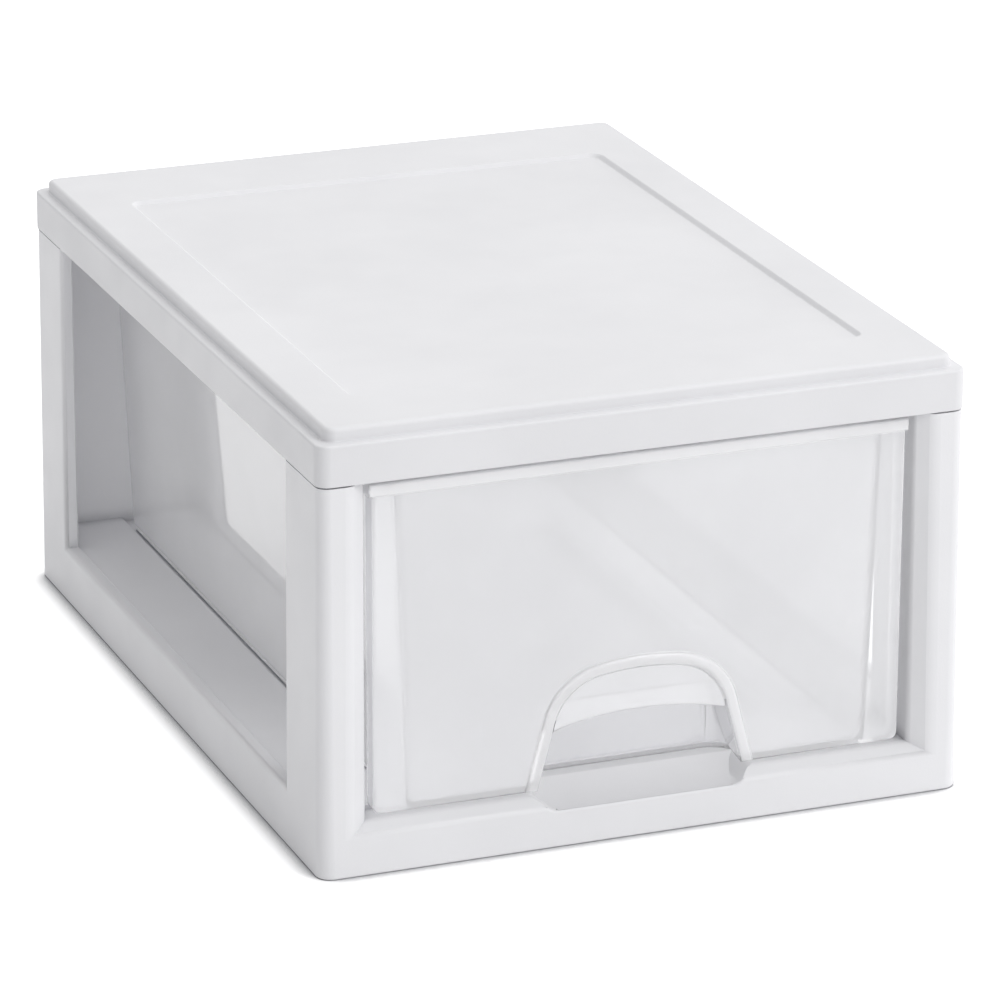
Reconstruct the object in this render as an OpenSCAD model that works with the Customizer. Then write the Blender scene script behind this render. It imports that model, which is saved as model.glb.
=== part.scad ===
// Stackable drawer box: a moulded frame with open sides, a cover that clips on and a clear sliding drawer.
// Millimetres. X runs left to right, Y from the front to the back, and Z up from the ground.
// The origin is the centre of the footprint, on the ground. The drawer is drawn closed.

/* [Overall] */
// Width over the skirt of the cover
overall_w = 270; // [225:1:330]
// Depth over the skirt of the cover
overall_d = 370; // [308:1:450]
// Height from the ground to the top of the cover
overall_h = 182; // [150:1:260]

/* [Walls and clearances] */
// Wall of the white frame and cover
shell_wall = 2.4; // [2:0.1:2.8]
// Wall of the clear drawer
drawer_wall = 1.8; // [1.4:0.1:2.2]
// Gap between faces that slide over each other
slide_gap = 0.3; // [0.2:0.05:0.5]
// Gap round the top ring of the frame, inside the skirt
snap_gap = 0.3; // [0.2:0.05:0.5]
// Gap between the foot of a box and the raised top of the box below
stack_gap = 0.5; // [0.3:0.05:1]
// Open seam between the skirt and the frame below it
seam_gap = 0.6; // [0.3:0.1:1.2]

/* [Cover] */
// Height of the skirt
skirt_h = 16.6; // [14:0.2:20]
// How far the skirt stands proud of the frame at the seam
skirt_overhang = 0.5; // [0.3:0.1:1.2]
// Corner radius of the skirt in plan
skirt_corner_r = 5.5; // [4:0.5:8]
// Width of the ledge that the next box stands on
ledge_w = 4.5; // [4.4:0.1:6]
// Height of the raised top above the ledge
plateau_h = 5.4; // [4:0.2:7]
// Rounding of the upper edge of the skirt
skirt_edge_r = 1; // [0.6:0.1:2]
// Rounding of the upper edge of the raised top
top_edge_r = 2; // [0.8:0.1:2.4]
// Depth of the sunk centre panel
recess_depth = 1.6; // [1:0.1:2]
// Rim of the raised top at each side of the sunk panel
recess_side_rim = 28; // [20:1:36]
// Rim of the raised top in front of the sunk panel
recess_front_rim = 39; // [30:1:48]
// Rim of the raised top behind the sunk panel
recess_back_rim = 52; // [40:1:60]

/* [Frame] */
// Corner radius of the frame in plan
frame_corner_r = 5; // [4:0.5:12]
// How far the foot of the frame stands out past the skirt
foot_flare = 0.8; // [0:0.1:1.2]
// Top of the floor that the drawer runs over
floor_top = 20.6; // [18:0.2:24]
// Height of the sill under each side window
sill_h = 24; // [23.6:0.2:28]
// Depth of the rim round each side window
window_rim = 5.2; // [4:0.2:7]
// Length of the side wall in front of each side window
front_post_d = 39.6; // [30:0.2:46]
// Length of the side wall behind each side window
back_post_d = 36.6; // [28:0.2:44]
// Width of each front post
front_post_w = 19.6; // [16:0.2:22]
// Width of each panel beside the back window
back_panel_w = 77.6; // [50:0.2:90]
// Width of the flare along the front opening
flare_w = 6.4; // [4:0.2:7]
// Depth of the flare along the front opening
flare_d = 5; // [4:0.2:6]
// Drop of the flare on the front rail
flare_drop = 3.1; // [2.6:0.1:5]
// Depth of the sunk panel in the floor
pan_depth = 7; // [4:0.5:9]
// Corner radius of the sunk panel in the floor
pan_r = 16; // [8:1:24]
// Height of the side shelves above the floor
shelf_h = 1.7; // [1.2:0.1:2.4]
// Height of the two runners above the floor
runner_h = 0.9; // [0.6:0.1:1.1]
// Width of each runner
runner_w = 17; // [12:1:20]

/* [Drawer] */
// Draft of the drawer's side walls, in degrees
side_draft = 2; // [1:0.05:3.5]
// Draft of the drawer's back wall, in degrees
back_draft = 2; // [1:0.05:3.5]
// Width of the rim along the top of the drawer
rim_w = 3.6; // [2.4:0.2:5]
// Gap between that rim and the front posts
rim_gap = 8.6; // [5:0.2:10]
// Gap between the foot of the drawer and the side shelves
track_gap = 1.2; // [0.8:0.1:2]
// Gap between the drawer front and each front post
front_gap = 3.6; // [3:0.1:5]
// Distance of the drawer front behind the face of the frame
front_setback = 6.1; // [5:0.1:7.5]
// Height of the thickened band along the top of the drawer front
band_h = 5.2; // [4:0.2:7]
// How far that band stands proud
band_proud = 1.3; // [0.8:0.1:1.6]
// Depth of the flange round the edge of the drawer front
flange_d = 7; // [5:0.5:9]
// Rounding of the drawer's upright corners
tub_corner_r = 7; // [5:0.5:10]
// Rounding along the bottom of the drawer
tub_edge_r = 2.2; // [1.5:0.1:3]
// How far the drawer slides out
travel = 300; // [200:5:300]

/* [Handle] */
// Radius of the arch's corners
arch_corner_r = 26; // [20:1:28]
// Distance of the centres of those corners from the middle
arch_corner_x = 13.3; // [10:0.1:16]
// Height of those centres above the floor
arch_corner_h = 22.9; // [20:0.1:30]
// Lean of the arch's legs from upright, in degrees
arch_lean = 14.6; // [8:0.2:18]
// Width of the raised bead along the arch
bead_w = 5; // [3:0.2:6]
// Height of the bead above the drawer front
bead_proud = 1.4; // [0.8:0.1:2]
// Depth of the finger pocket behind the face of the drawer front
pocket_depth = 17.7; // [14:0.1:22]
// Height of the lip's free edge above the floor, in the middle
lip_edge_h = 29.9; // [26:0.1:34]
// Radius of the lip's free edge
lip_edge_r = 150; // [120:1:220]
// Half width of the deep middle of the finger scoop in the front rail
scoop_half_w = 37; // [30:1:40]
// Width of each soft end of the finger scoop
scoop_end_w = 11; // [8:1:14]
// Depth of the finger scoop at the face of the front rail
scoop_depth = 5.3; // [4.4:0.1:6.4]

/* [Hidden] */
$fn = 64;
hull_fn = 32;
eps = 0.01;
white = [0.91, 0.91, 0.93];
clear_white = [0.93, 0.94, 0.96, 0.55];

// Heights
ledge_z = overall_h - plateau_h;
seam_z = ledge_z - skirt_h;
ring_top = ledge_z - shell_wall;
shoulder_z = seam_z - seam_gap;
shelf_z = floor_top + shelf_h;

// Frame in plan, at the seam
frame_w = overall_w - 2 * skirt_overhang;
frame_d = overall_d - 2 * skirt_overhang;
frame_x = frame_w / 2;
front_y = -frame_d / 2;
back_y = frame_d / 2;
opening_x = frame_x - front_post_w;
window_front_y = front_y + front_post_d;
window_back_y = back_y - back_post_d;
back_window_x = frame_x - back_panel_w;
rail_half = opening_x + flare_w + shell_wall;
foot_out = skirt_overhang + foot_flare;
skirt_wall = 2.2;
ring_inset = skirt_wall + snap_gap - skirt_overhang;
catch_l = 24;
catch_h = 3;
catch_proud = 0.6;
catch_y = overall_d * 0.27;
catch_z = (seam_z + ring_top) / 2;
shoulder_t = 3;

// Cover in plan
plateau_w = overall_w - 2 * ledge_w;
plateau_d = overall_d - 2 * ledge_w;
plateau_r = skirt_corner_r - 1;
recess_w = overall_w - 2 * recess_side_rim;
recess_front_y = recess_front_rim - overall_d / 2;
recess_back_y = overall_d / 2 - recess_back_rim;
recess_r = 3;

// Drawer
drawer_low = floor_top + runner_h + slide_gap;
face_y = front_y + front_setback;
front_x = opening_x - front_gap;
front_top = shoulder_z - 2;
tub_top = front_top - 3;
rim_t = 1.8;
tub_front_r = drawer_wall + tub_edge_r + 0.2;
tub_top_x = opening_x - rim_gap - rim_w;
tub_low_x = tub_top_x - (tub_top - drawer_low) * tan(side_draft);
tub_top_y = back_y - shell_wall - slide_gap - rim_w;
tub_low_y = tub_top_y - (tub_top - drawer_low) * tan(back_draft);
stop_tab_w = 16;
stop_tab_x = 30;
stop_tab_top = shoulder_z + 4;
stop_y = tub_top_y - travel - slide_gap - 2 * drawer_wall;

// Floor
track_x = tub_low_x + track_gap;
runner_x = tub_low_x - 1;
pan_x = runner_x - runner_w - 4;
pan_front_y = front_y + 50;
pan_back_y = back_y - 68;
rib_t = 1.6;
rib_h = 4;
scoop_run = 22;
scoop_r = (scoop_run * scoop_run + scoop_depth * scoop_depth) / (2 * scoop_depth);
dimple_y = pan_front_y - 6;
dimple_l = 14;
dimple_w = 4;
dimple_depth = 1.2;

// Handle
lip_room = 4;
pocket_corner_r = 12;
crown_half = 10;
crown_r = arch_corner_r + arch_corner_x / sin(crown_half);
arch_z = floor_top + arch_corner_h;
crown_z = arch_z - (crown_r - arch_corner_r) * cos(crown_half);

// Right half of the arch's outline, from the crown down to the foot, set outward by grow
function arch_side(grow) = concat(
    [for (a = [0 : crown_half / 4 : crown_half]) [0, crown_z] + (crown_r + grow) * [sin(a), cos(a)]],
    [for (a = [90 - crown_half : -5 : arch_lean]) [arch_corner_x, arch_z] + (arch_corner_r + grow) * [cos(a), sin(a)]],
    [arch_foot(grow)]);

// Where the outline meets the underside of the drawer
function arch_foot(grow) =
    let (tangent = [arch_corner_x, arch_z] + (arch_corner_r + grow) * [cos(arch_lean), sin(arch_lean)])
    [tangent[0] + (tangent[1] - drawer_low) * tan(arch_lean), drawer_low];

module arch_outline(grow) {
    for (side = [0, 1])
        mirror([side, 0])
            polygon(concat(arch_side(grow), [[-eps, drawer_low]]));
}

// A plan outline with round corners
module round_rect(w, d, r) {
    square([w, d - 2 * r], center = true);
    square([w - 2 * r, d], center = true);
    for (x = [-1, 1], y = [-1, 1])
        translate([x * (w / 2 - r), y * (d / 2 - r)])
            circle(r);
}

module layer(low, high) {
    translate([0, 0, low])
        linear_extrude(high - low)
            children();
}

// Extrudes an outline drawn in X and Z along Y
module along_y(from, to) {
    translate([0, to, 0])
        rotate([90, 0, 0])
            linear_extrude(to - from)
                children();
}

// Extrudes an outline drawn in Y and Z along X
module along_x(from, to) {
    translate([from, 0, 0])
        rotate([90, 0, 90])
            linear_extrude(to - from)
                children();
}

// A slab with round corners in plan and a rounded upper edge
module soft_slab(w, d, low, high, corner_r, edge_r) {
    hull()
        for (x = [-1, 1], y = [-1, 1])
            translate([x * (w / 2 - corner_r), y * (d / 2 - corner_r), 0])
                rotate_extrude($fn = hull_fn) {
                    translate([0, low])
                        square([corner_r, high - low - edge_r]);
                    translate([0, low])
                        square([corner_r - edge_r, high - low]);
                    intersection() {
                        translate([corner_r - edge_r, high - edge_r])
                            circle(edge_r);
                        translate([0, low])
                            square([corner_r, high - low]);
                    }
                }
}

module frame_plan(inset) {
    round_rect(frame_w - 2 * inset, frame_d - 2 * inset, max(frame_corner_r - inset, 0.6));
}

// The outer form of the frame, which widens towards the foot
module frame_form() {
    hull() {
        layer(0, eps)
            frame_plan(-foot_out, $fn = hull_fn);
        layer(shoulder_z - eps, shoulder_z)
            frame_plan(0, $fn = hull_fn);
    }
}

// Outer wall, floor and the ring that the cover clips over
module frame_shell() {
    difference() {
        frame_form();
        layer(floor_top, shoulder_z + 1)
            frame_plan(shell_wall);
        layer(-1, floor_top - shell_wall)
            frame_plan(shell_wall);
    }
    difference() {
        union() {
            layer(shoulder_z - shoulder_t, shoulder_z)
                frame_plan(shell_wall / 2);
            layer(shoulder_z - shoulder_t, ring_top)
                frame_plan(ring_inset);
        }
        layer(shoulder_z - shoulder_t - 1, ring_top + 1)
            frame_plan(ring_inset + shell_wall);
    }
    for (x = [-1, 1], y = [-1, 1])
        translate([x * (frame_x - ring_inset), y * catch_y, catch_z])
            cube([2 * catch_proud, catch_l, catch_h], center = true);
}

// Inner wall of a front post, with the block that the flare is cut from
module front_jamb() {
    low = floor_top - shell_wall;
    translate([opening_x, front_y, low])
        cube([shell_wall, front_post_d, shoulder_z - low]);
    translate([opening_x, front_y, low])
        cube([flare_w + shell_wall, flare_d + shell_wall, shoulder_z - low]);
}

// The rim round a side window; the window itself is cut later
module window_frame() {
    intersection() {
        layer(floor_top - 1, shoulder_z)
            frame_plan(shell_wall / 2);
        translate([frame_x - window_rim, window_front_y - shell_wall, floor_top - 1])
            cube([window_rim, window_back_y - window_front_y + 2 * shell_wall, overall_h]);
    }
}

// The shelf at one side of the drawer's track
module side_shelf() {
    intersection() {
        layer(floor_top - 1, shelf_z)
            frame_plan(0);
        translate([track_x, front_y + 15, 0])
            cube([frame_x, frame_d, overall_h]);
    }
}

// Right end of the finger scoop, from its deep middle up to the share of its width given by last
function scoop_side(grow, last) = [
    for (t = [0 : 0.1 : last])
        let (depth = (scoop_depth + eps) * (1 + cos(180 * t)) / 2)
        [scoop_half_w + grow + scoop_end_w * t, floor_top + eps - grow - depth]
];

// The space taken out of the front rail for the fingers, set outward by grow
module scoop_form(grow, last) {
    end = scoop_half_w + grow + scoop_end_w * last;
    intersection() {
        translate([-end, front_y, floor_top - scoop_depth + scoop_r])
            rotate([0, 90, 0])
                cylinder(r = scoop_r + grow, h = 2 * end, $fn = 128);
        along_y(front_y - foot_out - 1, front_y + 2 * scoop_run)
            for (side = [0, 1])
                mirror([side, 0])
                    polygon(concat(
                        [[-eps, floor_top + scoop_depth], [-eps, floor_top - scoop_depth - grow]],
                        scoop_side(grow, last),
                        [[end, floor_top + scoop_depth]]
                    ));
    }
}

// The front opening, flared towards the face of the frame and on past the foot
module front_opening() {
    reach = 1 + (foot_out + 1) / flare_d;
    inner_y = front_y + flare_d;
    intersection() {
        layer(0, shoulder_z)
            polygon([
                [opening_x, inner_y + 8],
                [opening_x, inner_y],
                [opening_x + reach * flare_w, inner_y - reach * flare_d],
                [-opening_x - reach * flare_w, inner_y - reach * flare_d],
                [-opening_x, inner_y],
                [-opening_x, inner_y + 8]
            ]);
        along_x(-frame_x, frame_x)
            polygon([
                [inner_y - reach * flare_d, floor_top - reach * flare_drop],
                [inner_y, floor_top],
                [inner_y + 8, floor_top],
                [inner_y + 8, shoulder_z],
                [inner_y - reach * flare_d, shoulder_z]
            ]);
    }
}

// Outline of the sunk panel in the floor, set outward by grow
module pan_plan(grow) {
    translate([0, (pan_front_y + pan_back_y) / 2])
        round_rect(2 * (pan_x + grow), pan_back_y - pan_front_y + 2 * grow, pan_r + grow);
}

// Ribs under the floor, and short ones inside the foot that sit round the raised top of a box below
module floor_ribs() {
    span = frame_x - pan_x;
    rib_low = floor_top - shell_wall - rib_h;
    foot_x = plateau_w / 2 + stack_gap;
    foot_y = plateau_d / 2 + stack_gap;
    for (side = [-1, 1], k = [-1.5 : 1 : 1.5]) {
        translate([side * (pan_x + span / 2), k * frame_d / 5, (rib_low + floor_top - 1) / 2])
            cube([span - shell_wall, rib_t, floor_top - 1 - rib_low], center = true);
        translate([side * (foot_x + frame_x) / 2, k * frame_d / 5, (floor_top - 1) / 2])
            cube([frame_x - foot_x, rib_t, floor_top - 1], center = true);
        translate([k * frame_w / 5, side * (foot_y - front_y) / 2, (floor_top - 1) / 2])
            cube([rib_t, -front_y - foot_y, floor_top - 1], center = true);
    }
}

module frame() {
    color(white)
    difference() {
        union() {
            frame_shell();
            for (side = [0, 1])
                mirror([side, 0, 0]) {
                    front_jamb();
                    window_frame();
                    side_shelf();
                    translate([runner_x - runner_w, pan_front_y + 4, floor_top - 1])
                        cube([runner_w, tub_low_y - pan_front_y - 10, 1 + runner_h]);
                }
            // The front rail is solid behind its flare.
            translate([-rail_half, front_y, floor_top - flare_drop - 3])
                cube([2 * rail_half, flare_d + shell_wall, flare_drop + 3]);
            intersection() {
                scoop_form(shell_wall, 0.9);
                layer(0, floor_top)
                    frame_plan(0);
            }
            layer(floor_top - pan_depth - shell_wall, floor_top - 1)
                pan_plan(shell_wall);
            floor_ribs();
        }
        layer(floor_top - pan_depth, floor_top + 1)
            pan_plan(0);
        scoop_form(0, 1);
        front_opening();
        translate([-overall_w, window_front_y, sill_h])
            cube([2 * overall_w, window_back_y - window_front_y, shoulder_z - sill_h]);
        translate([-back_window_x, back_y - window_rim, sill_h])
            cube([2 * back_window_x, 2 * window_rim, shoulder_z - sill_h]);
        for (side = [-1, 1])
            translate([side * pan_x, dimple_y])
                layer(floor_top - dimple_depth, floor_top + 1)
                    round_rect(dimple_l, dimple_w, dimple_w / 2 - eps);
    }
}

// Sunk centre panel of the cover, set down by drop
module recess_form(drop) {
    translate([0, (recess_front_y + recess_back_y) / 2, -drop])
        hull() {
            layer(overall_h - recess_depth, overall_h - recess_depth + eps)
                round_rect(recess_w - 2, recess_back_y - recess_front_y - 2, recess_r);
            layer(overall_h + eps, overall_h + 2 * eps)
                round_rect(recess_w + 1.5, recess_back_y - recess_front_y + 1.5, recess_r + 1.5);
        }
}

module top_cover() {
    under = overall_h - shell_wall;
    color(white) {
        difference() {
            union() {
                soft_slab(overall_w, overall_d, seam_z, ledge_z, skirt_corner_r, skirt_edge_r);
                soft_slab(plateau_w, plateau_d, ledge_z - 1, overall_h, plateau_r, top_edge_r);
                recess_form(shell_wall);
            }
            recess_form(0);
            difference() {
                union() {
                    layer(seam_z - 1, ring_top)
                        round_rect(overall_w - 2 * skirt_wall, overall_d - 2 * skirt_wall,
                                   skirt_corner_r - skirt_wall);
                    layer(ring_top - 1, under)
                        round_rect(plateau_w - 2 * shell_wall, plateau_d - 2 * shell_wall,
                                   plateau_r - shell_wall);
                }
                translate([0, (recess_front_y + recess_back_y) / 2, 0])
                    layer(under - recess_depth, overall_h)
                        round_rect(recess_w + 4, recess_back_y - recess_front_y + 4, recess_r + 2);
            }
            for (x = [-1, 1], y = [-1, 1])
                translate([x * (frame_x - ring_inset + snap_gap), y * catch_y, catch_z])
                    cube([2 * (catch_proud + 0.1), catch_l + 2, catch_h + 0.8], center = true);
        }
        // The rib that the tabs at the back of the drawer stop against
        translate([-stop_tab_x - stop_tab_w, stop_y, seam_z])
            cube([2 * (stop_tab_x + stop_tab_w), drawer_wall, under - seam_z - recess_depth + eps]);
    }
}

// The drawer's tub, drawn in by inset on every side
module tub_form(inset, low, high) {
    hull()
        for (x = [-1, 1], back = [0, 1]) {
            corner = (back ? tub_corner_r : tub_front_r) - inset;
            front = face_y + inset + corner;
            low_y = back ? tub_low_y - inset - corner : front;
            top_y = back ? tub_top_y - inset - corner : front;
            translate([x * (tub_low_x - inset - corner), low_y, low])
                cylinder(r1 = corner - tub_edge_r, r2 = corner, h = tub_edge_r, $fn = hull_fn);
            translate([x * (tub_top_x - inset - corner), top_y, high - eps])
                cylinder(r = corner, h = eps, $fn = hull_fn);
        }
}

module tub_rim() {
    translate([0, 0, tub_top - rim_t])
        linear_extrude(rim_t)
            difference() {
                translate([0, (tub_top_y + rim_w + face_y) / 2])
                    round_rect(2 * (tub_top_x + rim_w), tub_top_y + rim_w - face_y, tub_corner_r);
                translate([0, (tub_top_y - drawer_wall + face_y + drawer_wall) / 2])
                    round_rect(2 * (tub_top_x - drawer_wall), tub_top_y - face_y - 2 * drawer_wall, tub_corner_r);
            }
}

// The drawer front in its own plane
module front_outline(inset) {
    low = drawer_low + inset;
    high = front_top - inset;
    half = front_x - inset;
    translate([0, (low + high) / 2])
        round_rect(2 * half, high - low, 3);
}

// The finger pocket from a plane at front on, set outward by grow
module pocket_form(grow, front) {
    back = face_y + pocket_depth + grow;
    roof = crown_z + crown_r + grow - bead_w / 2;
    knee = floor_top + lip_edge_h;
    corner = pocket_corner_r + grow;
    intersection() {
        along_y(front, back)
            arch_outline(grow - bead_w / 2);
        along_x(-frame_x, frame_x)
            polygon([
                [front, drawer_low - 1],
                [back, drawer_low - 1],
                [back, knee],
                [face_y + drawer_wall + lip_room + grow, roof],
                [front, roof]
            ]);
        layer(0, overall_h)
            translate([0, back - pocket_depth - corner])
                round_rect(2 * (arch_foot(0)[0] + grow), 2 * (pocket_depth + corner), corner);
    }
}

module drawer() {
    color(clear_white)
    difference() {
        union() {
            difference() {
                tub_form(0, drawer_low, tub_top);
                tub_form(drawer_wall, drawer_low + drawer_wall, tub_top + eps);
            }
            tub_rim();
            along_y(face_y, face_y + drawer_wall)
                front_outline(0);
            difference() {
                along_y(face_y, face_y + flange_d)
                    front_outline(0);
                along_y(face_y - 1, face_y + flange_d + 1)
                    front_outline(drawer_wall);
            }
            translate([-front_x - band_proud, face_y - band_proud, front_top - band_h])
                cube([2 * (front_x + band_proud), band_proud + flange_d, band_h]);
            for (side = [-1, 1])
                translate([side * stop_tab_x - stop_tab_w / 2, tub_top_y - drawer_wall, tub_top - 4])
                    cube([stop_tab_w, drawer_wall, stop_tab_top - tub_top + 4]);
            pocket_form(drawer_wall, face_y);
            along_y(face_y - bead_proud, face_y + eps)
                difference() {
                    arch_outline(bead_w / 2);
                    arch_outline(-bead_w / 2);
                }
        }
        // The space behind the lip, and the mouth below its free edge
        intersection() {
            pocket_form(0, face_y - 1);
            union() {
                translate([-front_x, face_y + drawer_wall, 0])
                    cube([2 * front_x, frame_d, overall_h]);
                along_y(face_y - 1, face_y + 10)
                    translate([0, floor_top + lip_edge_h - lip_edge_r])
                        circle(lip_edge_r, $fn = 256);
            }
        }
    }
}

frame();
top_cover();
drawer();
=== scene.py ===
"""Looks of the stackable drawer box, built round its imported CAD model."""
import math

import bmesh
import bpy
from mathutils import Matrix, Vector


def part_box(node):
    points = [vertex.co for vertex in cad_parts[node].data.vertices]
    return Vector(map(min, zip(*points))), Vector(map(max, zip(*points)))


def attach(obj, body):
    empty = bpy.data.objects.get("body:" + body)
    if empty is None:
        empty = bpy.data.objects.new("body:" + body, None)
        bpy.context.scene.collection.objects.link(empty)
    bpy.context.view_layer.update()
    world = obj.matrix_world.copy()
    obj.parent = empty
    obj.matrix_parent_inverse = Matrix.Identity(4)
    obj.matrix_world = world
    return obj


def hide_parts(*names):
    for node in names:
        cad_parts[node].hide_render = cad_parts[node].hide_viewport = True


MM = 0.001

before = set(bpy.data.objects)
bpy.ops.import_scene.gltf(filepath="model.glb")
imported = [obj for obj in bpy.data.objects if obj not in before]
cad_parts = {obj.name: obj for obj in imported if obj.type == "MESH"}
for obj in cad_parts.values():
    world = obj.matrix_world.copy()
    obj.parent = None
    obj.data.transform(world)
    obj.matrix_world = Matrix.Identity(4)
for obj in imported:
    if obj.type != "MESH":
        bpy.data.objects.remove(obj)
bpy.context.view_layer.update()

# ---- sizes, in millimetres ---------------------------------------------------
SHELL_WALL = 2.4
SKIRT_WALL = 2.2
SKIRT_CORNER_R = 5.5
SKIRT_EDGE_R = 1.0
SKIRT_LOW_EDGE_R = 0.5
LEDGE_W = 4.5
LEDGE_FILLET_R = 0.6
PLATEAU_H = 5.4
PLATEAU_CORNER_R = 4.5
TOP_EDGE_R = 2.0
RECESS_DEPTH = 1.6
RECESS_SIDE_RIM = 28.0
RECESS_FRONT_RIM = 39.0
RECESS_BACK_RIM = 52.0
RECESS_CORNER_R = 4.5
RECESS_SLOPE = 2.2
# How much wider the sunk panel is underneath: at its bottom, and where it meets the top
RECESS_BOTTOM_GROW = 2.0
RECESS_TOP_GROW = 2.2
STOP_RIB = (92.0, 1.8, 18.0)
STOP_RIB_Y = -124.8
# How far the rib reaches up into the panel
RIB_OVERLAP = 0.05
# Points nearer to each other than this are joined, and points nearer to the ground lie on it
SAME_PLACE = 0.02

# ---- angles, in degrees, and steps -------------------------------------------
# Faces that turn by less than this are one flat face
FLAT_ANGLE = 0.4
# Edges that turn by more than this are sharp: on the CAD's own meshes, and on the cover
SHARP_ANGLE = 28
COVER_SHARP_ANGLE = 50
CORNER_STEPS = 8
BEVEL_SEGMENTS = 4
# How far the shading leans to the larger faces, from 1 to 100
NORMAL_WEIGHT = 80

# ---- finishes; lengths in metres ---------------------------------------------
# Where the noise usually lies
NOISE_SPAN = (0.35, 0.65)
PLASTIC_IOR = 1.49
FRAME_WHITE = ((0.815, 0.815, 0.835), (0.845, 0.845, 0.865))
# The cover's white is set darker than the frame's, as painted shade for the dimmer light on the
# cover's skirt
COVER_WHITE = ((0.765, 0.765, 0.785), (0.795, 0.795, 0.815))
# Scale of the clouds in the colour and in the gloss, in waves to a metre
WHITE_CLOUDS = (14, 70)
CLEAR_CLOUDS = (20, 45)
# Detail of the noise: fine for the colours, plain elsewhere
FINE_DETAIL = 3.0
PLAIN_DETAIL = 2.0
WHITE_ROUGHNESS = (0.38, 0.46)
WHITE_GLOSS = 0.45
# Mould grain of the white plastic and ripple of the clear one: scale and height
WHITE_GRAIN = (1600, 0.00004)
CLEAR_RIPPLE = (90, 0.000006)
CLEAR_TINT = ((0.925, 0.925, 0.94), (0.955, 0.955, 0.97))
CLEAR_ROUGHNESS = (0.025, 0.045)
CLEAR_GLOSS = 0.5
THICK_GLOSS = 1.0
# Share of what is behind it that each face of the clear plastic shows, by place
FRONT_CLEAR = 0.6
WALL_CLEAR = 0.38
FLOOR_CLEAR = 0.74
THICK_CLEAR = 0.2
# Share of the light that each of its faces takes away
LOST_LIGHT = 0.03
# Painted shade that darkens the frame's colour in its inner corners: how far it reaches, its colour
# where it is deepest, and how open a place is where it starts and where it is deepest
PAINTED_SHADE_REACH = 0.012
PAINTED_SHADE_COLOUR = (0.5, 0.5, 0.52)
PAINTED_SHADE_FADE = (0.78, 0.4)
PAINTED_SHADE_RAYS = 4


# ---- materials ---------------------------------------------------------------
def new_material(name):
    material = bpy.data.materials.new(name)
    material.use_nodes = True
    tree = material.node_tree
    return material, tree, tree.nodes["Principled BSDF"]


def noise(tree, scale, detail=PLAIN_DETAIL):
    """Noise laid through the object."""
    place = tree.nodes.new("ShaderNodeTexCoord")
    texture = tree.nodes.new("ShaderNodeTexNoise")
    texture.inputs["Scale"].default_value = scale
    texture.inputs["Detail"].default_value = detail
    tree.links.new(place.outputs["Object"], texture.inputs["Vector"])
    return texture.outputs["Fac"]


def ramp(tree, source, span=(0, 1), values=(0, 1)):
    """The source brought from span on to values, and kept between their ends."""
    turn = tree.nodes.new("ShaderNodeMapRange")
    for name, value in zip(("From Min", "From Max", "To Min", "To Max"), (*span, *values)):
        turn.inputs[name].default_value = value
    tree.links.new(source, turn.inputs["Value"])
    return turn.outputs["Result"]


def combine(tree, operation, *values):
    """Math with two values, each a number or an output of another node."""
    result = tree.nodes.new("ShaderNodeMath")
    result.operation = operation
    for socket, value in zip(result.inputs, values):
        if isinstance(value, bpy.types.NodeSocket):
            tree.links.new(value, socket)
        else:
            socket.default_value = value
    return result.outputs[0]


def tint(tree, source, dark, light):
    mix = tree.nodes.new("ShaderNodeMix")
    mix.data_type = "RGBA"
    mix.inputs["A"].default_value = (*dark, 1)
    mix.inputs["B"].default_value = (*light, 1)
    tree.links.new(source, mix.inputs["Factor"])
    return mix.outputs["Result"]


def grain(tree, shader, scale, height):
    """Fine relief of moulded plastic."""
    bump = tree.nodes.new("ShaderNodeBump")
    bump.inputs["Strength"].default_value = 1.0
    bump.inputs["Distance"].default_value = height
    tree.links.new(noise(tree, scale), bump.inputs["Height"])
    tree.links.new(bump.outputs["Normal"], shader.inputs["Normal"])


def painted_corner_shade(tree, colour):
    """The colour, with painted shade that dims it in the inner corners of its own piece."""
    # Painted shade: ambient occlusion darkens the colour in the piece's inner corners
    crevice = tree.nodes.new("ShaderNodeAmbientOcclusion")
    crevice.inputs["Distance"].default_value = PAINTED_SHADE_REACH
    crevice.only_local = True
    crevice.samples = PAINTED_SHADE_RAYS
    share = ramp(tree, crevice.outputs["AO"], PAINTED_SHADE_FADE)
    dim = tree.nodes.new("ShaderNodeMix")
    dim.data_type = "RGBA"
    dim.blend_type = "MULTIPLY"
    dim.inputs["B"].default_value = (*PAINTED_SHADE_COLOUR, 1)
    tree.links.new(share, dim.inputs["Factor"])
    tree.links.new(colour, dim.inputs["A"])
    return dim.outputs["Result"]


def white_plastic(name, colours, corners):
    """Satin white polypropylene: faint clouds in its colour and gloss over a fine mould grain, and
    painted shade in its inner corners where corners is set.
    """
    material, tree, shader = new_material(name)
    clouds = tint(tree, ramp(tree, noise(tree, WHITE_CLOUDS[0], FINE_DETAIL), NOISE_SPAN), *colours)
    colour = painted_corner_shade(tree, clouds) if corners else clouds
    tree.links.new(colour, shader.inputs["Base Color"])
    roughness = ramp(tree, noise(tree, WHITE_CLOUDS[1]), NOISE_SPAN, WHITE_ROUGHNESS)
    tree.links.new(roughness, shader.inputs["Roughness"])
    shader.inputs["IOR"].default_value = PLASTIC_IOR
    shader.inputs["Specular IOR Level"].default_value = WHITE_GLOSS
    grain(tree, shader, *WHITE_GRAIN)
    return material


def seen_directly(tree):
    """1 for rays from the camera, and for those that come off gloss or through clear plastic."""
    path = tree.nodes.new("ShaderNodeLightPath")
    total = path.outputs["Is Camera Ray"]
    for kind in ("Is Glossy Ray", "Is Transmission Ray"):
        total = combine(tree, "MAXIMUM", total, path.outputs[kind])
    return total


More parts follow.
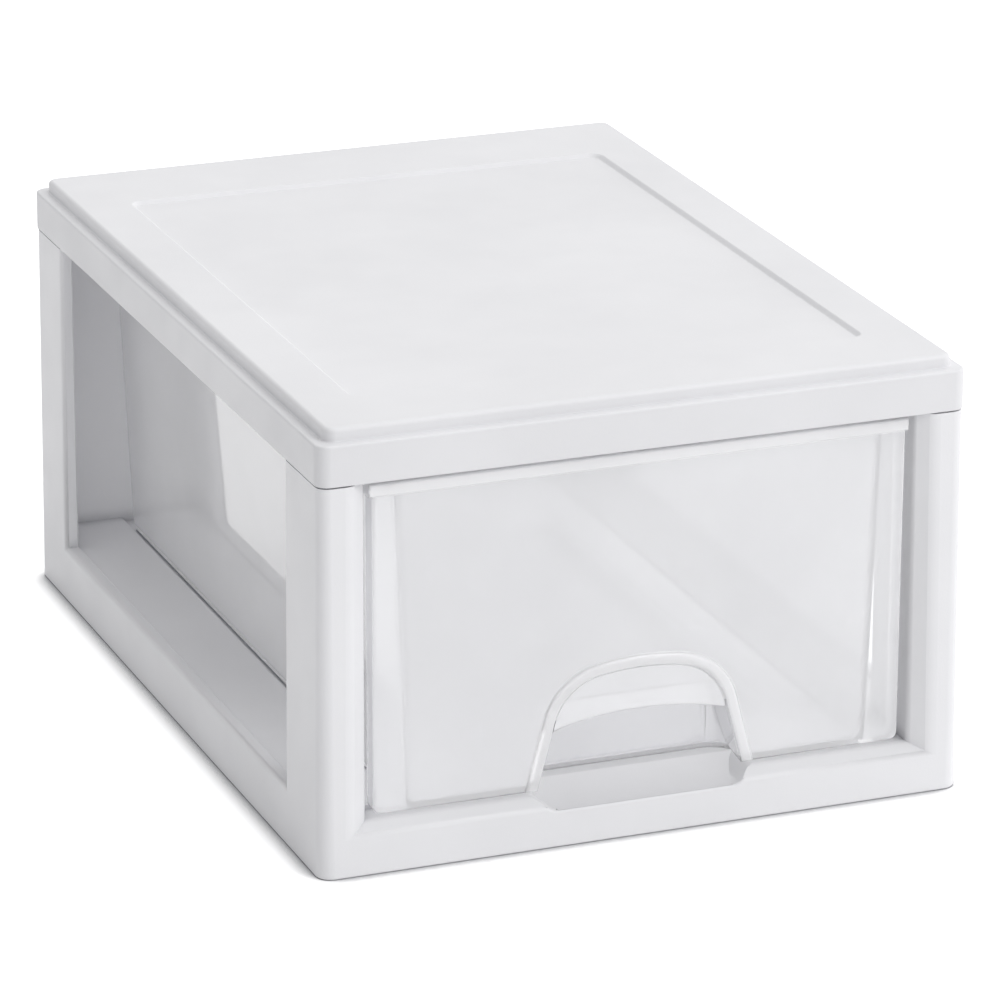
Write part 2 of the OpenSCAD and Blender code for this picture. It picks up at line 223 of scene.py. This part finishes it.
def milky_plastic(name, clear, gloss=CLEAR_GLOSS):
    """Clear plastic with milk in it. clear is the share of the view that each face lets past.

    The milk scatters light onward, so the pieces in it and behind it lose little light.
    """
    material, tree, shader = new_material(name)
    milk = noise(tree, CLEAR_CLOUDS[0], FINE_DETAIL)
    clouds = tint(tree, ramp(tree, milk, NOISE_SPAN), *CLEAR_TINT)
    tree.links.new(clouds, shader.inputs["Base Color"])
    roughness = ramp(tree, noise(tree, CLEAR_CLOUDS[1]), NOISE_SPAN, CLEAR_ROUGHNESS)
    tree.links.new(roughness, shader.inputs["Roughness"])
    shader.inputs["IOR"].default_value = PLASTIC_IOR
    shader.inputs["Transmission Weight"].default_value = clear
    shader.inputs["Specular IOR Level"].default_value = gloss
    held = ramp(tree, seen_directly(tree), values=(LOST_LIGHT, 1))
    tree.links.new(held, shader.inputs["Alpha"])
    grain(tree, shader, *CLEAR_RIPPLE)
    return material


# ---- mesh tools --------------------------------------------------------------
def add_piece(name, form, body, node, material):
    """Makes the bmesh into the piece that stands for a CAD node."""
    mesh = bpy.data.meshes.new(name)
    form.to_mesh(mesh)
    form.free()
    mesh.materials.append(material)
    mesh.shade_smooth()
    piece = bpy.data.objects.new(name, mesh)
    bpy.context.collection.objects.link(piece)
    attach(piece, body)
    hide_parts(node)
    return piece


def weigh_normals(piece):
    even = piece.modifiers.new("even shading", "WEIGHTED_NORMAL")
    even.keep_sharp = True
    even.weight = NORMAL_WEIGHT


def round_rect(half_x, half_y, radius, z, middle_y=0.0):
    """Points of a rectangle with round corners, counterclockwise from above."""
    points = []
    for corner, (side_x, side_y) in enumerate(((1, 1), (-1, 1), (-1, -1), (1, -1))):
        for step in range(CORNER_STEPS + 1):
            turn = math.radians(90 * (corner + step / CORNER_STEPS))
            points.append(Vector((
                side_x * (half_x - radius) + radius * math.cos(turn),
                middle_y + side_y * (half_y - radius) + radius * math.sin(turn),
                z,
            )) * MM)
    return points


def loft(form, rings):
    """Skins a row of point rings and closes both ends."""
    rows = [[form.verts.new(point) for point in ring] for ring in rings]
    count = len(rows[0])
    for low, high in zip(rows, rows[1:]):
        for k in range(count):
            form.faces.new((low[k], low[(k + 1) % count], high[(k + 1) % count], high[k]))
    form.faces.new(list(reversed(rows[0])))
    form.faces.new(rows[-1])


def block(form, size, middle):
    """A box, size and middle in millimetres."""
    made = bmesh.ops.create_cube(form, size=1)["verts"]
    bmesh.ops.scale(form, vec=Vector(size) * MM, verts=made)
    bmesh.ops.translate(form, vec=Vector(middle) * MM, verts=made)


def cleaned(node):
    """A CAD node's mesh with its points joined, its foot level and each flat face whole."""
    form = bmesh.new()
    form.from_mesh(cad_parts[node].data)
    bmesh.ops.remove_doubles(form, verts=form.verts, dist=SAME_PLACE * MM)
    for point in form.verts:
        if point.co.z < SAME_PLACE * MM:
            point.co.z = 0
    flat = math.radians(FLAT_ANGLE)
    bmesh.ops.dissolve_limit(form, angle_limit=flat, verts=form.verts, edges=form.edges)
    return form


def soften(form, rules):
    """Gives each sharp edge the rounding of the first rule whose box holds it.

    Returns the widest rounding.
    """
    widest = max(width for _, _, width in rules)
    weight = form.edges.layers.float.new("bevel_weight_edge")
    for edge in form.edges:
        if len(edge.link_faces) != 2 or edge.calc_face_angle(0) < math.radians(SHARP_ANGLE):
            continue
        edge.smooth = False
        ends = [Vector((abs(v.co.x), v.co.y, v.co.z)) / MM for v in edge.verts]
        for low, high, width in rules:
            if all(low[i] <= end[i] <= high[i] for end in ends for i in range(3)):
                edge[weight] = width / widest
                break
    return widest


def round_edges(piece, widest):
    edges = piece.modifiers.new("round edges", "BEVEL")
    edges.limit_method = "WEIGHT"
    edges.width = widest * MM
    edges.segments = BEVEL_SEGMENTS
    edges.use_clamp_overlap = False
    weigh_normals(piece)


# ---- top cover ---------------------------------------------------------------
def arc(half_x, half_y, corner_r, z, radius, start, end, steps):
    """Rings that turn round an edge: the wall is upright at 0 degrees and flat at -90 and 90."""
    rings = []
    for step in range(steps + 1):
        turn = math.radians(start + (end - start) * step / steps)
        inset = radius * (1 - math.cos(turn))
        height = z + radius * math.sin(turn)
        rings.append(round_rect(half_x - inset, half_y - inset, corner_r - inset, height))
    return rings


def make_cover(material):
    low, high = (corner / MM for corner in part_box("top_cover"))
    top, seam, half_x, half_y = high.z, low.z, high.x, high.y
    ledge = top - PLATEAU_H
    under = top - SHELL_WALL
    plateau_x, plateau_y = half_x - LEDGE_W, half_y - LEDGE_W
    recess_x = half_x - RECESS_SIDE_RIM
    recess_y = (2 * half_y - RECESS_FRONT_RIM - RECESS_BACK_RIM) / 2
    recess_mid = (RECESS_FRONT_RIM - RECESS_BACK_RIM) / 2

    def recess_ring(grow, z):
        return round_rect(recess_x + grow, recess_y + grow, RECESS_CORNER_R + grow, z, recess_mid)

    skirt_in = [size - SKIRT_WALL for size in (half_x, half_y, SKIRT_CORNER_R)]
    plateau_in = [size - SHELL_WALL for size in (plateau_x, plateau_y, PLATEAU_CORNER_R)]
    edge_r = SKIRT_LOW_EDGE_R
    rings = [
        # Inside, from the middle of the sunk panel out and down to the skirt's lower edge
        recess_ring(RECESS_BOTTOM_GROW, under - RECESS_DEPTH),
        recess_ring(RECESS_TOP_GROW, under),
        round_rect(*plateau_in, under),
        round_rect(*plateau_in, ledge - SHELL_WALL),
        round_rect(*skirt_in, ledge - SHELL_WALL),
        round_rect(*skirt_in, seam + edge_r),
        round_rect(*(size + edge_r for size in skirt_in), seam),
    ]
    # Outside, up the skirt, over the ledge and up to the top
    rings += arc(half_x, half_y, SKIRT_CORNER_R, seam + edge_r, edge_r, -90, 0, 3)
    rings += arc(half_x, half_y, SKIRT_CORNER_R, ledge - SKIRT_EDGE_R, SKIRT_EDGE_R, 0, 90, 5)
    for turn in (0, 30, 60, 90):
        out = LEDGE_FILLET_R * (1 - math.sin(math.radians(turn)))
        rise = LEDGE_FILLET_R * (1 - math.cos(math.radians(turn)))
        corner_r = PLATEAU_CORNER_R + out
        rings.append(round_rect(plateau_x + out, plateau_y + out, corner_r, ledge + rise))
    rings += arc(plateau_x, plateau_y, PLATEAU_CORNER_R, top - TOP_EDGE_R, TOP_EDGE_R, 0, 90, 6)
    # The sunk panel's edge turns down, slopes and turns flat again.
    for share in (0, 0.08, 0.25, 0.5, 0.75, 0.92, 1):
        fall = RECESS_DEPTH * (1 - math.cos(math.pi * share)) / 2
        rings.append(recess_ring(RECESS_SLOPE * (0.5 - share), top - fall))
    form = bmesh.new()
    loft(form, rings)
    rib_z = under - RECESS_DEPTH - STOP_RIB[2] / 2 + RIB_OVERLAP
    block(form, STOP_RIB, (0, STOP_RIB_Y, rib_z))
    bmesh.ops.recalc_face_normals(form, faces=form.faces)
    for edge in form.edges:
        if edge.calc_face_angle(0) > math.radians(COVER_SHARP_ANGLE):
            edge.smooth = False
    cover = add_piece("cover_moulding", form, "housing", "top_cover", material)
    weigh_normals(cover)


# ---- frame and drawer --------------------------------------------------------
ANY = 1e6
# Rounding of the edges inside a box: its lowest and highest corner, with x taken without its
# sign, and the width of the rounding, all in millimetres
FRAME_EDGES = [
    # foot, outside and inside
    ((130.5, -ANY, -1), (ANY, ANY, 0.1), 1.0),
    ((-1, -ANY, -1), (ANY, -180.5, 0.1), 1.0),
    ((-1, 180.5, -1), (ANY, ANY, 0.1), 1.0),
    # outer edges of the side windows
    ((133.9, -146, 23.5), (ANY, 149, 159.6), 1.8),
    # inner edges of the side windows
    ((128.9, -146, 23.5), (129.8, 149, 159.6), 0.8),
    # outer edges of the back window
    ((-1, 183.9, 23.5), (58, ANY, 159.6), 1.6),
    # outer edges of the flare round the front opening
    ((118, -ANY, 14), (126, -184.2, 159.6), 2.6),
    ((-1, -ANY, 9), (126, -184.2, 18.5), 1.0),
    # inner edges of the flare
    ((114.5, -180, 20), (115.5, -179, 160), 2.0),
    ((-1, -180, 14), (115.5, -179, 21), 1.0),
    # straight inner edge of the finger scoop
    ((-1, -180, 13), (37.5, -160, 21), 1.0),
    # sunk panel in the floor
    ((-1, -140, 13), (82, 120, 21), 1.4),
]
DRAWER_EDGES = [
    # band along the top of the front
    ((-1, -ANY, 151.9), (ANY, -178.6, 158), 0.9),
    # bead along the arch
    ((-1, -ANY, 20), (60, -179.5, 100), 1.3),
    # edges of the front
    ((-1, -178.6, 20), (ANY, -178.2, 158), 0.7),
    # finger pocket
    ((-1, -178, 20), (60, -150, 90), 1.2),
    # rim of the tub
    ((-1, -170, 152), (ANY, ANY, 155), 0.4),
]


# Places of the drawer that are not as clear as its front: boxes that hold the middles of their
# faces, in millimetres
# Both sides and the back of the tub, and the bead along the arch
WALL_PLACES = [
    ((-ANY, -165, 24), (-92, ANY, ANY)),
    ((92, -165, 24), (ANY, ANY, ANY)),
    ((-ANY, 165, 24), (ANY, ANY, ANY)),
    ((-ANY, -ANY, 20), (ANY, -178.7, 100)),
]
# The floor of the tub, and the finger pocket
FLOOR_PLACES = [((-ANY, -155, 20), (ANY, ANY, 24)), ((-46, -176.5, 20), (46, -157, 95))]
# The band along the top of the front
THICK_PLACES = [((-ANY, -ANY, 151.9), (ANY, -171, 158))]


def make_moulding(name, node, body, rules, material):
    form = cleaned(node)
    widest = soften(form, rules)
    piece = add_piece(name, form, body, node, material)
    round_edges(piece, widest)
    return piece


def make_drawer(material, specials):
    """The drawer. specials are the materials of its less clear places, each with its boxes."""
    drawer = make_moulding(
        "drawer_moulding", "drawer", "drawer", DRAWER_EDGES, material)
    for index, (special, places) in enumerate(specials, 1):
        drawer.data.materials.append(special)
        for face in drawer.data.polygons:
            middle = face.center / MM
            if any(all(low[i] <= middle[i] <= high[i] for i in range(3)) for low, high in places):
                face.material_index = index


# ---- stage, light and camera -------------------------------------------------
CAMERA_AZIMUTH = math.radians(-21.454)
CAMERA_ELEVATION = math.radians(19.609)
CAMERA_ROLL = math.radians(0.221)
CAMERA_DISTANCE = 2.3462
CAMERA_TARGET = Vector((0.00605, -0.04196, 0.085))
CAMERA_LENS = 205.45
CAMERA_SHIFT = (-0.0279, 0.0142)
# The light tent's strength, and how much stronger it is towards +X and +Y
WORLD_LIGHT = 0.755
WORLD_LEAN = (0.43, -0.1, 0)
# Each lamp's name, place, size and watts, in metres
LAMPS = [
    ("key", (0.9, -1.4, 1.5), 0.7, 8.5),
    ("top", (0.1, 0.3, 2.0), 1.0, 5),
]
LAMP_TARGET = Vector((0, 0, 0.08))
FLOOR_SIZE = 12
# Painted contact shadow on the paper: how far it reaches, its rays, its colour and the paper's, how
# open a place is where the shadow is deepest and where it ends, and the same for the paper's glow
PAINTED_SHADOW_REACH = 0.014
PAINTED_SHADOW_RAYS = 8
PAINTED_SHADOW_COLOURS = ((0.25, 0.25, 0.27), (0.9, 0.9, 0.905))
PAINTED_SHADOW_FADE = (0.35, 0.7)
GLOW_FADE = (0.5, 0.85)
FLOOR_GLOW = 0.6


def add_camera():
    data = bpy.data.cameras.new("camera")
    data.lens = CAMERA_LENS
    data.sensor_width = 36.0
    data.shift_x, data.shift_y = CAMERA_SHIFT
    data.clip_start = 0.1
    data.clip_end = 50
    camera = bpy.data.objects.new("camera", data)
    back = Vector((
        math.sin(CAMERA_AZIMUTH) * math.cos(CAMERA_ELEVATION),
        -math.cos(CAMERA_AZIMUTH) * math.cos(CAMERA_ELEVATION),
        math.sin(CAMERA_ELEVATION),
    ))
    camera.location = CAMERA_TARGET + back * CAMERA_DISTANCE
    turn = (-back).to_track_quat("-Z", "Y").to_matrix() @ Matrix.Rotation(CAMERA_ROLL, 3, "Z")
    camera.rotation_mode = "QUATERNION"
    camera.rotation_quaternion = turn.to_quaternion()
    bpy.context.collection.objects.link(camera)
    bpy.context.scene.camera = camera


def add_softbox(name, place, size, watts):
    """A square soft lamp that faces the box."""
    data = bpy.data.lights.new(name, "AREA")
    data.size = size
    data.energy = watts
    lamp = bpy.data.objects.new(name, data)
    lamp.location = place
    lamp.rotation_mode = "QUATERNION"
    lamp.rotation_quaternion = (LAMP_TARGET - Vector(place)).to_track_quat("-Z", "Y")
    bpy.context.collection.objects.link(lamp)


def add_world():
    """A light tent that is brighter on the side of WORLD_LEAN, and plain white where it is seen."""
    world = bpy.data.worlds.new("studio")
    bpy.context.scene.world = world
    world.use_nodes = True
    tree = world.node_tree
    back = tree.nodes["Background"]
    back.inputs["Color"].default_value = (1, 1, 1, 1)
    place = tree.nodes.new("ShaderNodeTexCoord")
    lean = tree.nodes.new("ShaderNodeVectorMath")
    lean.operation = "DOT_PRODUCT"
    lean.inputs[1].default_value = WORLD_LEAN
    tree.links.new(place.outputs["Generated"], lean.inputs[0])
    around = combine(tree, "ADD", lean.outputs["Value"], WORLD_LIGHT)
    level = ramp(tree, seen_directly(tree))
    tree.links.new(around, level.node.inputs["To Min"])
    tree.links.new(level, back.inputs["Strength"])


def add_floor():
    """White paper with a painted contact shadow: its colour and glow are darker close to the box.
    """
    bpy.ops.mesh.primitive_plane_add(size=FLOOR_SIZE)
    floor = bpy.context.object
    floor.name = "floor"
    material, tree, shader = new_material("floor_paper")
    shader.inputs["Roughness"].default_value = 0.9
    shader.inputs["Specular IOR Level"].default_value = 0.0
    shader.inputs["Emission Color"].default_value = (1, 1, 1, 1)
    # Painted contact shadow: ambient occlusion darkens the paper's colour and dims its glow near
    # the box
    nearness = tree.nodes.new("ShaderNodeAmbientOcclusion")
    nearness.inputs["Distance"].default_value = PAINTED_SHADOW_REACH
    nearness.samples = PAINTED_SHADOW_RAYS
    level = ramp(tree, nearness.outputs["AO"], GLOW_FADE, (0, FLOOR_GLOW))
    open_share = ramp(tree, nearness.outputs["AO"], PAINTED_SHADOW_FADE)
    # The box is lit by plain paper, and only the view shows the painted contact shadow.
    unseen = combine(tree, "SUBTRACT", 1, seen_directly(tree))
    paper = combine(tree, "MAXIMUM", open_share, unseen)
    tree.links.new(tint(tree, paper, *PAINTED_SHADOW_COLOURS), shader.inputs["Base Color"])
    glow = combine(tree, "MULTIPLY", seen_directly(tree), level)
    tree.links.new(glow, shader.inputs["Emission Strength"])
    floor.data.materials.append(material)


# ---- the scene ---------------------------------------------------------------
# The frame's white gets painted shade in its inner corners; the cover's does not
frame_white = white_plastic("white_plastic", FRAME_WHITE, True)
cover_white = white_plastic("cover_plastic", COVER_WHITE, False)
milky_clear = milky_plastic("clear_plastic", FRONT_CLEAR)
milky_walls = milky_plastic("clear_plastic_walls", WALL_CLEAR)
milky_floor = milky_plastic("clear_plastic_floor", FLOOR_CLEAR)
milky_thick = milky_plastic("clear_plastic_thick", THICK_CLEAR, THICK_GLOSS)

make_moulding("frame_moulding", "frame", "housing", FRAME_EDGES, frame_white)
make_cover(cover_white)
make_drawer(milky_clear, [
    (milky_walls, WALL_PLACES),
    (milky_floor, FLOOR_PLACES),
    (milky_thick, THICK_PLACES),
])

add_camera()
add_world()
add_floor()
for lamp_row in LAMPS:
    add_softbox(*lamp_row)
bpy.context.scene.view_settings.view_transform = "Standard"
